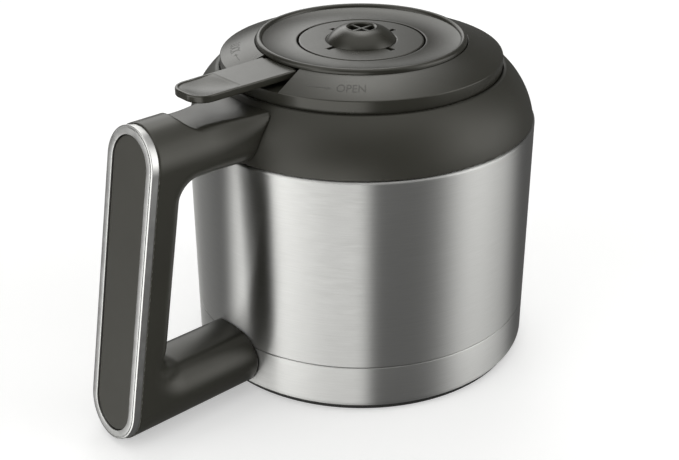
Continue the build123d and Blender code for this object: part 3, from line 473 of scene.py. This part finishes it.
def surface_mesh(name, shape, low, high, step):
    """The surface where shape(x, y, z) is zero, as quads set on it. Sizes in mm."""
    axes = [np.arange(low[k] - step, high[k] + 2 * step, step) for k in range(3)]
    values = sampled(shape, axes)
    size = tuple(n - 1 for n in values.shape)
    total = np.zeros((*size, 3), np.float32)
    count = np.zeros(size, np.int32)
    quads = []
    # each crossing of a grid edge makes a quad between the four cells round that edge
    for axis in range(3):
        one = [slice(None)] * 3
        two = [slice(None)] * 3
        one[axis], two[axis] = slice(0, -1), slice(1, None)
        va, vb = values[tuple(one)], values[tuple(two)]
        where = np.argwhere((va < 0) != (vb < 0))
        if not len(where):
            continue
        a = va[tuple(where.T)].astype(float)
        b = vb[tuple(where.T)].astype(float)
        point = np.stack([axes[k][where[:, k]] for k in range(3)], 1)
        point[:, axis] += step * a / (a - b)
        others = [k for k in range(3) if k != axis]
        corners = []
        whole = np.ones(len(where), bool)
        for du, dv in ((-1, -1), (0, -1), (0, 0), (-1, 0)):
            cell = where.copy()
            cell[:, others[0]] += du
            cell[:, others[1]] += dv
            corners.append(cell)
            good = np.all((cell >= 0) & (cell < np.array(size)), 1)
            whole &= good
            index = np.ravel_multi_index(cell[good].T, size)
            for k in range(3):
                np.add.at(total.reshape(-1, 3)[:, k], index, point[good, k])
            np.add.at(count.reshape(-1), index, 1)
        ids = np.stack([np.ravel_multi_index(cell[whole].T, size) for cell in corners], 1)
        flip = (a[whole] < 0) ^ (axis == 1)
        ids[~flip] = ids[~flip][:, ::-1]
        quads.append(ids)
    used, quads = np.unique(np.concatenate(quads), return_inverse=True)
    quads = quads.reshape(-1, 4)
    points = total.reshape(-1, 3)[used].astype(float) / count.reshape(-1)[used][:, None]
    points = settled(shape, points, step)
    mesh = bpy.data.meshes.new(name)
    mesh.vertices.add(len(points))
    mesh.vertices.foreach_set("co", (points * MM).astype(np.float32).ravel())
    mesh.loops.add(quads.size)
    mesh.loops.foreach_set("vertex_index", quads.astype(np.int32).ravel())
    mesh.polygons.add(len(quads))
    mesh.polygons.foreach_set("loop_start", np.arange(0, quads.size, 4, dtype=np.int32))
    mesh.polygons.foreach_set("loop_total", np.full(len(quads), 4, np.int32))
    mesh.update(calc_edges=True)
    mesh.validate()
    return mesh


# Sizes in mm
BODY_R = 72.0
WALL_R = 71.2
SEAM_R = 71.75
SEAM_LOW = 21.15
SEAM_HIGH = 21.45
FOOT_R = 62.6
COLLAR_TOP = 123.6
COLLAR_TOP_R = 59.4
COLLAR_FOOT = (71.3, 102.5)
COLLAR_WALL = 2.4
LID_R = 57.6
LID_BASE = 121.3
LID_EDGE = 128.6
CONE_TOP = 133.7
RIM_R = 43.3
DISC_TOP = 133.2
DISC_R = 25.5
SOCKET_Z = 130.7
SOCKET_R = 14.35
BORE_R = 6.2
LEAN = math.radians(10.1)
FACE_X = 119.2
MID_Z = 63.6
HALF_TALL = 62.6


def cone_z(radius):
    return LID_EDGE + (LID_R - radius) * (CONE_TOP - LID_EDGE) / (LID_R - RIM_R)


# Steel vessel
def steel_pieces():
    shell = rounded([(WALL_R, SEAM_HIGH), (SEAM_R, SEAM_HIGH, 0.08), (BODY_R, 21.7, 0.15),
                     (BODY_R, 102.2, 0.9), (69.4, 102.2, 0.4), (44.2, 108.0), (44.2, 111.2),
                     (43.4, 111.2), (43.4, 107.2), (68.6, 101.4), (WALL_R, 100.6)])
    mesh = lathe_mesh("shell_wall", shell)
    add_object("shell_wall", mesh, "vessel", steel, ["outer_shell"])
    cup = rounded([(0, 4.2), (60.1, 4.2, 1.0), (FOOT_R, 2.0), (69.0, 2.0), (BODY_R, 2.0, 3.0),
                   (BODY_R, 20.9, 0.15), (SEAM_R, SEAM_LOW, 0.08), (WALL_R, SEAM_LOW),
                   (WALL_R, 5.0, 2.2), (69.0, 2.8), (FOOT_R, 2.8), (60.1, 5.0), (0, 5.0)])
    mesh = lathe_mesh("base_band", cup)
    add_object("base_band", mesh, "vessel", steel, ["base_cup"])
    foot = rounded([(FOOT_R, 0.0, 0.5), (69.6, 0.0, 0.6), (69.6, 2.0), (FOOT_R, 2.0)])
    mesh = lathe_mesh("foot", foot, 256)
    add_object("foot", mesh, "vessel", rubber, ["foot_ring"])


steel_pieces()


# Collar with its spout
CHORD = math.hypot(COLLAR_FOOT[0] - COLLAR_TOP_R, COLLAR_TOP - COLLAR_FOOT[1])
NORMAL = ((COLLAR_TOP - COLLAR_FOOT[1]) / CHORD, (COLLAR_FOOT[0] - COLLAR_TOP_R) / CHORD)
BULGE = 2.25
COLLAR_MID = ((COLLAR_FOOT[0] + COLLAR_TOP_R) / 2 + BULGE * NORMAL[0],
              (COLLAR_FOOT[1] + COLLAR_TOP) / 2 + BULGE * NORMAL[1])


def collar_point(out):
    """The middle of the collar's slope, moved outwards."""
    return (COLLAR_MID[0] + out * NORMAL[0], COLLAR_MID[1] + out * NORMAL[1])


def collar_section():
    rim_r, throat_r, seat_r = 58.0, 46.0, 41.4
    deck, seat = 121.0, 114.4
    under_deck, under_seat = 118.6, 112.9
    inner_foot = (68.9, COLLAR_FOOT[1])
    outline = arc(COLLAR_FOOT, collar_point(0), (COLLAR_TOP_R, COLLAR_TOP), 40)
    outline += [(COLLAR_TOP_R, COLLAR_TOP), (rim_r, COLLAR_TOP), (rim_r, deck), (throat_r, deck),
                (throat_r, seat), (seat_r, seat), (seat_r, under_seat),
                (throat_r + COLLAR_WALL, under_seat), (throat_r + COLLAR_WALL, under_deck)]
    outline += arc((61.1, under_deck), collar_point(-COLLAR_WALL), inner_foot, 24)
    return profile_distance(outline + [inner_foot])


def collar_piece():
    section = collar_section()
    beak_half, channel_half = 13.2, 11.0
    tip_x, tip_r = 46.39, 21.61
    ledge_z, ledge_half, ledge_degrees, mm_per_degree = 119.7, 1.3, 20.0, 0.8

    def shape(x, y, z):
        radius = np.hypot(x, y)
        side = np.abs(y)
        # spout beak, with a rounded tip and a sloping underside
        under = (x - 66.0) * 0.62 - (z - 106.4) * 0.78
        tip = np.hypot(x - tip_x, y) - tip_r
        plan = round_both(side - beak_half, tip, 1.0)
        beak = np.maximum(round_both(plan, np.maximum(under, z - COLLAR_TOP), 1.2), 58.5 - x)
        solid = soft_either(section(radius, z), beak, 2.5 * np.clip((z - 105.0) / 6.0, 0.05, 1))
        # pan under the channel, from the throat's wall to the beak
        pan = inside_all(side - beak_half, 114.2 - z, z - 119.0, 47.0 - x, x - 60.5)
        solid = np.minimum(solid, pan)
        # pouring channel, which rises towards the tip
        floor = 116.4 + np.maximum(x - 60.2, 0) * 0.61
        channel = inside_all(side - channel_half, floor - z, 44.5 - x)
        solid = round_both(solid, -channel, 0.5)
        # four locking ledges in the throat
        turn = np.abs(np.degrees(np.arctan2(y, x)) % 90.0 - 45.0)
        ledge = inside_all(np.abs(z - ledge_z) - ledge_half, (turn - ledge_degrees) * mm_per_degree,
                           43.9 - radius, radius - 46.6)
        return np.minimum(solid, ledge)

    mesh = surface_mesh("collar_shell", shape, (-72, -72, 102.3), (72, 72, 123.9), 0.6)
    add_object("collar_shell", mesh, "vessel", body_plastic, ["collar"], 40)


collar_piece()


# Handle
def handle_piece():
    cos, sin = math.cos(LEAN), math.sin(LEAN)
    gap = 0.25
    half_width, widening = 15.0, 1.6
    corner_r, corner_loss = 14.95, 5.95
    grip_depth = 12.6
    opening_top, opening_foot = 103.7, 27.6
    flat_z, flat_end = 122.1, 94.2
    top_r = COLLAR_TOP_R + gap
    near = [(0, -5), (BODY_R + gap, -5), (BODY_R + gap, COLLAR_FOOT[1])]
    near += arc((COLLAR_FOOT[0] + gap, COLLAR_FOOT[1]), collar_point(gap), (top_r, COLLAR_TOP), 40)
    near += [(top_r, COLLAR_TOP), (top_r, 140), (0, 140)]
    vessel = profile_distance(near, 0.2)

    def shape(x, y, z):
        side = np.abs(y)
        upper = z > MID_Z
        # stadium section that widens near the collar, with the grip's leaning face
        t = eased((x + 86.0) / 28.0)
        half = half_width + np.where(upper, widening * t, 0.0)
        corner = np.where(upper, corner_r - corner_loss * t, corner_r)
        u = side - (half - corner)
        v = np.abs(z - MID_Z) - (HALF_TALL - corner)
        section = np.hypot(np.maximum(u, 0), np.maximum(v, 0)) + np.minimum(np.maximum(u, v), 0) - corner
        front = -(x + FACE_X) * cos + (z - MID_Z) * sin
        body = round_both(section, front, 0.4)
        # finger opening, over a crowned lower arm
        leaning = ((z - MID_Z) * math.tan(LEAN) - (FACE_X - grip_depth) - x) * cos
        top, foot = z - opening_top, opening_foot - 0.016 * y * y - z
        opening = np.where(upper, round_both(leaning, top, 6.5), round_both(leaning, foot, 9.0))
        body = round_both(body, -opening, 6.4 + 2.2 * eased((40.0 - z) / 8.0))
        # flat in the upper arm's crown, under the lever
        flat = round_both(y * y / 34.0 - x - flat_end, flat_z - z, 3.0)
        body = round_both(body, -flat, 1.3)
        return np.maximum(body, -vessel(np.hypot(x, y), z))

    mesh = surface_mesh("handle_shell", shape, (-131, -17, 0.8), (-54, 17, 126.6), 0.5)
    add_object("handle_shell", mesh, "vessel", handle_plastic, ["handle_body"], 50)


handle_piece()

# Trim ring and inset on the grip's face
HALF_LENGTH = HALF_TALL / math.cos(LEAN) - 0.5
HALF_WIDTH = 14.5


def stadium(count=48):
    """Outline of the grip's face, as (along, across, outward along, outward across)."""
    out = []
    straight = HALF_LENGTH - HALF_WIDTH
    for end in (1, -1):
        for k in range(count + 1):
            a = math.pi * k / count
            n = (math.sin(a) * end, math.cos(a) * end)
            out.append((end * straight + n[0] * HALF_WIDTH, n[1] * HALF_WIDTH, n[0], n[1]))
    return out


def on_grip(along, across, out):
    """A point on the grip's leaning face: along is upwards, out is away from the grip."""
    x = -FACE_X + along * math.sin(LEAN) - out * math.cos(LEAN)
    z = MID_Z + along * math.cos(LEAN) + out * math.sin(LEAN)
    return (x * MM, across * MM, z * MM)


def grip_mesh(name, profile, closed):
    """A profile of (inset, out) carried round the grip's face. An open one gets flat ends."""
    work = bmesh.new()
    rings = [[work.verts.new(on_grip(along - na * inset, across - nb * inset, out))
              for inset, out in profile] for along, across, na, nb in stadium()]
    for k, ring in enumerate(rings):
        side_faces(work, ring, rings[(k + 1) % len(rings)], closed)
    if not closed:
        work.faces.new([ring[0] for ring in rings])
        work.faces.new([ring[-1] for ring in rings])
    return finished_mesh(name, work)


def grip_pieces():
    ring = rounded([(0.0, 0.0), (0.0, 2.9, 0.3), (0.65, 3.0), (0.65, 2.75), (0.95, 2.75),
                    (0.95, 3.2, 0.15), (3.5, 3.2, 0.2), (3.5, 0.0)])
    mesh = grip_mesh("trim_ring", ring, True)
    add_object("trim_ring", mesh, "vessel", trim_silver, ["handle_trim"])
    plate = rounded([(3.7, 0.0), (3.7, 2.6, 0.4), (5.5, 2.6)], closed=False)
    mesh = grip_mesh("grip_inset", plate, False)
    add_object("grip_inset", mesh, "vessel", panel_plastic, ["grip_panel"])


grip_pieces()


# Lid
def lid_cover_piece():
    wall = 2.2
    inner_r, block_r = LID_R - wall, LID_R - 1.1
    outline = rounded([(inner_r, LID_BASE), (LID_R, LID_BASE, 0.25), (LID_R, LID_EDGE, 0.55),
                       (RIM_R, CONE_TOP, 0.2), (RIM_R, CONE_TOP - wall), (inner_r, cone_z(inner_r) - wall)])
    cover = lathe_mesh("lid_top", outline)
    # well for the lever: a thicker block, then a wedge cut out of it
    well, well_floor, cheek = 14.5, 128.3, 1.7
    wedge = [(RIM_R - 2, well_floor), (LID_R + 3, well_floor), (LID_R + 3, 140), (RIM_R - 2, 140)]
    block = [(RIM_R, well_floor - 1.6), (block_r, well_floor - 1.6), (block_r, cone_z(block_r) - 0.15),
             (RIM_R, CONE_TOP - 0.15)]
    wedge_mesh = lathe_mesh("wedge", wedge, start=180 - well, sweep=2 * well)
    block_mesh = lathe_mesh("block", block, start=180 - well - cheek, sweep=2 * (well + cheek))
    cover = boolean(boolean(cover, block_mesh, "UNION"), wedge_mesh)
    add_object("lid_top", cover, "lid", lid_plastic, ["lid_cover"])


lid_cover_piece()

# Open and lock marks on the lid's slope
MARK_TOP = 0.03
MARK_FOOT = -0.06


def on_cone(degrees, radius, out):
    """A point on the lid's slope; out is square to the slope."""
    a = math.radians(degrees)
    tilt = math.atan((CONE_TOP - LID_EDGE) / (LID_R - RIM_R))
    r = radius + out * math.sin(tilt)
    z = cone_z(radius) + out * math.cos(tilt)
    return (r * math.cos(a) * MM, r * math.sin(a) * MM, z * MM)


def word_mesh(word, first, last, inner, outer):
    """A word between two directions and two radii, its tops towards the centre."""
    data = bpy.data.curves.new(word, "FONT")
    data.body = word
    data.extrude = 0.01
    data.resolution_u = 6
    item = new_object(word, data)
    mesh = mesh_of(item)
    bpy.data.objects.remove(item)
    points = np.array([v.co for v in mesh.vertices])
    low, high = points.min(0), points.max(0)
    for vertex, point in zip(mesh.vertices, points):
        u, v = (point[:2] - low[:2]) / (high[:2] - low[:2])
        out = MARK_TOP if point[2] > 0 else MARK_FOOT
        vertex.co = on_cone(first + (last - first) * u, outer + (inner - outer) * v, out)
    return mesh


def arrow_mesh(tail, tip, radius):
    """A thin arrow along the slope, from the direction of its tail to that of its tip."""
    line_half, head_half, head_length = 0.16, 0.75, 2.0
    head = tip - math.copysign(head_length, tip - tail)
    outline = [(tail + (head - tail) * k / 10, radius + line_half) for k in range(11)]
    outline += [(head, radius + head_half), (tip, radius), (head, radius - head_half)]
    outline += [(head + (tail - head) * k / 10, radius - line_half) for k in range(11)]
    bottom, top = ([on_cone(a, r, out) for a, r in outline] for out in (MARK_FOOT, MARK_TOP))
    return slab_mesh("arrow", bottom, top)


def mark_pieces():
    marks = (("open_word", word_mesh("OPEN", -143.3, -131.0, 48.8, 52.8)),
             ("open_arrow", arrow_mesh(-156.0, -145.4, 51.3)),
             ("lock_word", word_mesh("LOCK", 136.0, 148.3, 49.4, 53.4)),
             ("lock_arrow", arrow_mesh(159.0, 150.0, 51.6)))
    for name, mesh in marks:
        add_object(name, mesh, "lid", mark_plastic)


mark_pieces()


# Funnel with its bead
def funnel_piece():
    rim_r, bead_r, bead_in, bead_z = 43.0, 41.6, 40.2, 134.3
    foot_z, inner_foot_r = 123.1, 41.4
    throat_r, mouth_r, ledge_r, ledge_z = 26.2, 26.9, 27.8, 129.75
    outline = [(rim_r, foot_z), (rim_r, bead_z)]
    outline += arc((rim_r, bead_z), (bead_r, bead_z + 1.2), (bead_in, bead_z), 14)
    outline += arc((bead_in, bead_z), (35.0, 133.4), (mouth_r, DISC_TOP), 24)
    outline += rounded([(mouth_r, DISC_TOP), (throat_r, DISC_TOP, 0.3), (throat_r, ledge_z),
                        (ledge_r, ledge_z), (ledge_r, 131.0)], closed=False)
    outline += arc((ledge_r, 131.0), (33.4, 130.9), (inner_foot_r, 131.9), 12)
    outline += [(inner_foot_r, 131.9), (inner_foot_r, foot_z)]
    corners = [(-50, -10.8), (-39.2, -10.8), (-39.2, 10.8), (-50, 10.8)]
    bottom, top = ([(x * MM, y * MM, z * MM) for x, y in corners] for z in (120, 133.5))
    funnel = boolean(lathe_mesh("funnel", outline), slab_mesh("slot", bottom, top))
    add_object("funnel", funnel, "lid", lid_plastic, ["lid_funnel"])


funnel_piece()


# Thumb lever
def lever_piece():
    root_x, tip_x, pad_tip_x, pad_end_x = -43.4, -88.8, -87.5, -68.5
    root_half, taper = 10.3, 0.9
    plate_z, plate_half = 131.75, 1.45
    plate_top = plate_z + plate_half
    border = 1.3
    pad_depth = 1.15
    arm_half, arm_low, arm_high = 8.5, 124.8, 127.35

    def shape(x, y, z):
        side = np.abs(y)
        # outline in plan: it narrows towards the tip, which has rounded corners
        t = (root_x - x) / (root_x - tip_x)
        edge = (side - (root_half - taper * t)) * 0.9998
        plan = np.maximum(round_both(edge, tip_x - x, 7.0), x - root_x)
        plate = round_both(plan, np.abs(z - plate_z) - plate_half, 0.45)
        # thumb pad, dished both ways inside a raised border
        inside = np.maximum(round_both(edge + border, pad_tip_x - x, 5.7), x - pad_end_x)
        dish = (1 - ((x + 78.0) / 9.6) ** 2) * (1 - 0.75 * (y / 9.4) ** 2)
        pad = round_both(inside, plate_top - pad_depth * dish - z, 0.3)
        plate = round_both(plate, -pad, 0.35)
        # arm under the rim, and its root, which slopes down to it
        arm = inside_all(-42.4 - x, x + 12.3, arm_low - z, z - arm_high)
        slope = z - plate_top + np.maximum(x + 42.6, 0) * 0.72
        root = inside_all(-43.8 - x, x + 34.8, arm_low - z, slope, np.where(x < -41.8, 130.3 - z, -9.0))
        return np.minimum(plate, np.maximum(np.minimum(arm, root), side - arm_half))

    mesh = surface_mesh("thumb_lever", shape, (-89, -10.6, 124.6), (-12.0, 10.6, 133.5), 0.3)
    add_object("thumb_lever", mesh, "lever", lid_plastic, ["lever"], 38)


lever_piece()


# Valve disc with four slots and the nose's socket
def disc_piece():
    slot_r, slot_half_length, slot_half_width = 15.4, 3.1, 1.1

    def slot(along, across):
        return np.maximum(np.abs(across) - slot_half_width,
                          np.abs(np.abs(along) - slot_r) - slot_half_length)

    def shape(x, y, z):
        radius = np.hypot(x, y)
        solid = round_both(radius - DISC_R, np.abs(z - 131.4) - 1.8, 0.35)
        hollow = np.minimum(np.minimum(slot(x, y), slot(y, x)), radius - SOCKET_R)
        return inside_all(solid, -np.maximum(hollow, SOCKET_Z - z), BORE_R - radius)

    mesh = surface_mesh("drip_disc", shape, (-25.6, -25.6, 129.4), (25.6, 25.6, 133.4), 0.3)
    add_object("drip_disc", mesh, "valve", lid_plastic, ["valve_disc"], 38)


disc_piece()


# Nose with the cross in its opening
def nose_piece():
    outer_r = SOCKET_R - 0.05
    cross_z, cross_half, bar_half, cross_r = 137.4, 0.45, 0.5, 5.8
    outline = [(BORE_R, SOCKET_Z), (outer_r, SOCKET_Z), (outer_r, DISC_TOP)]
    outline += arc((outer_r, DISC_TOP), (11.0, 136.6), (6.8, 138.4), 16)
    outline += [(6.8, 138.4), (6.3, 138.6), (5.9, 138.55), (5.3, 138.1), (5.3, 137.0), (BORE_R, 132.3)]
    section = profile_distance(outline, 0.05, 1.0)

    def shape(x, y, z):
        radius = np.hypot(x, y)
        bars = np.minimum(np.abs(x), np.abs(y)) - bar_half
        cross = inside_all(bars, radius - cross_r, np.abs(z - cross_z) - cross_half)
        return soft_either(section(radius, z), cross, 0.25)

    mesh = surface_mesh("drip_nose", shape, (-14.4, -14.4, 130.5), (14.4, 14.4, 138.8), 0.22)
    add_object("drip_nose", mesh, "valve", lid_plastic, ["brew_nose"], 40)


nose_piece()


# Floor and light
def stage_floor():
    size = 6.0
    mesh = bpy.data.meshes.new("floor")
    corners = [(-size, -size, 0), (size, -size, 0), (size, size, 0), (-size, size, 0)]
    mesh.from_pydata(corners, [], [(0, 1, 2, 3)])
    floor = new_object("floor", mesh)
    material, tree, shader = new_material("floor")
    cloud = noise(tree, coords(tree), 3.0, 2.0)
    tint(tree, shader, cloud, (0.74, 0.74, 0.74), (0.76, 0.76, 0.76))
    shader.inputs["Roughness"].default_value = 0.9
    shader.inputs["Specular IOR Level"].default_value = 0.1
    shader.inputs["Emission Color"].default_value = (1, 1, 1, 1)
    shader.inputs["Emission Strength"].default_value = 0.40
    mesh.materials.append(material)
    floor.visible_glossy = False


stage_floor()

# Soft panels round the table. Directions are in degrees, counter-clockwise from the one that faces
# the camera: middle, half width, softness; lower edge, upper edge and softness in elevation; strength.
CAMERA_AZIMUTH = -132.0
PANELS = (
    (-44.0, 48.0, 5.0, -40.0, 8.0, 12.0, 2.05),
    (-58.0, 18.0, 24.0, 4.0, 48.0, 14.0, 1.90),
    (84.0, 26.0, 12.0, -12.0, 16.0, 12.0, 1.22),
    (80.0, 18.0, 26.0, 4.0, 48.0, 14.0, 2.10),
    (-160.0, 20.0, 8.0, 10.0, 36.0, 8.0, 2.00),
    (178.0, 14.0, 18.0, 36.0, 66.0, 8.0, 3.00),
    (-130.0, 24.0, 12.0, -90.0, 10.0, 12.0, 0.16),
)
SURROUND = 0.12
DOME = 1.05
DOME_EDGE = (38.0, 68.0)


def world_light():
    """A studio: a soft overhead dome, and upright soft panels in a dim surround."""
    world = bpy.data.worlds.new("studio")
    bpy.context.scene.world = world
    world.use_nodes = True
    tree = world.node_tree
    direction = coords(tree, "Generated")

    def separated(vector):
        parts = tree.nodes.new("ShaderNodeSeparateXYZ")
        tree.links.new(vector, parts.inputs[0])
        return parts.outputs

    def degrees(value):
        return maths(tree, "MULTIPLY", value, 180 / math.pi)

    height = degrees(maths(tree, "ARCSINE", separated(direction)["Z"]))
    total = maths(tree, "MULTIPLY", smooth_step(tree, height, *DOME_EDGE), DOME - SURROUND)
    total = maths(tree, "ADD", total, SURROUND)
    for middle, half, soft, low, high, fade, strength in PANELS:
        turn = tree.nodes.new("ShaderNodeMapping")
        turn.inputs["Rotation"].default_value = (0, 0, math.radians(-CAMERA_AZIMUTH - middle))
        tree.links.new(direction, turn.inputs["Vector"])
        parts = separated(turn.outputs["Vector"])
        angle = degrees(maths(tree, "ABSOLUTE", maths(tree, "ARCTAN2", parts["Y"], parts["X"])))
        window = smooth_step(tree, angle, half + soft, half - soft)
        for edge in ((low - fade, low + fade), (high + fade, high - fade)):
            window = maths(tree, "MULTIPLY", window, smooth_step(tree, height, *edge))
        total = maths(tree, "ADD", total, maths(tree, "MULTIPLY", window, strength))
    background = tree.nodes["Background"]
    tree.links.new(total, background.inputs["Strength"])
    background.inputs["Color"].default_value = (1.0, 1.0, 0.985, 1)


world_light()
bpy.context.scene.view_settings.view_transform = "Standard"
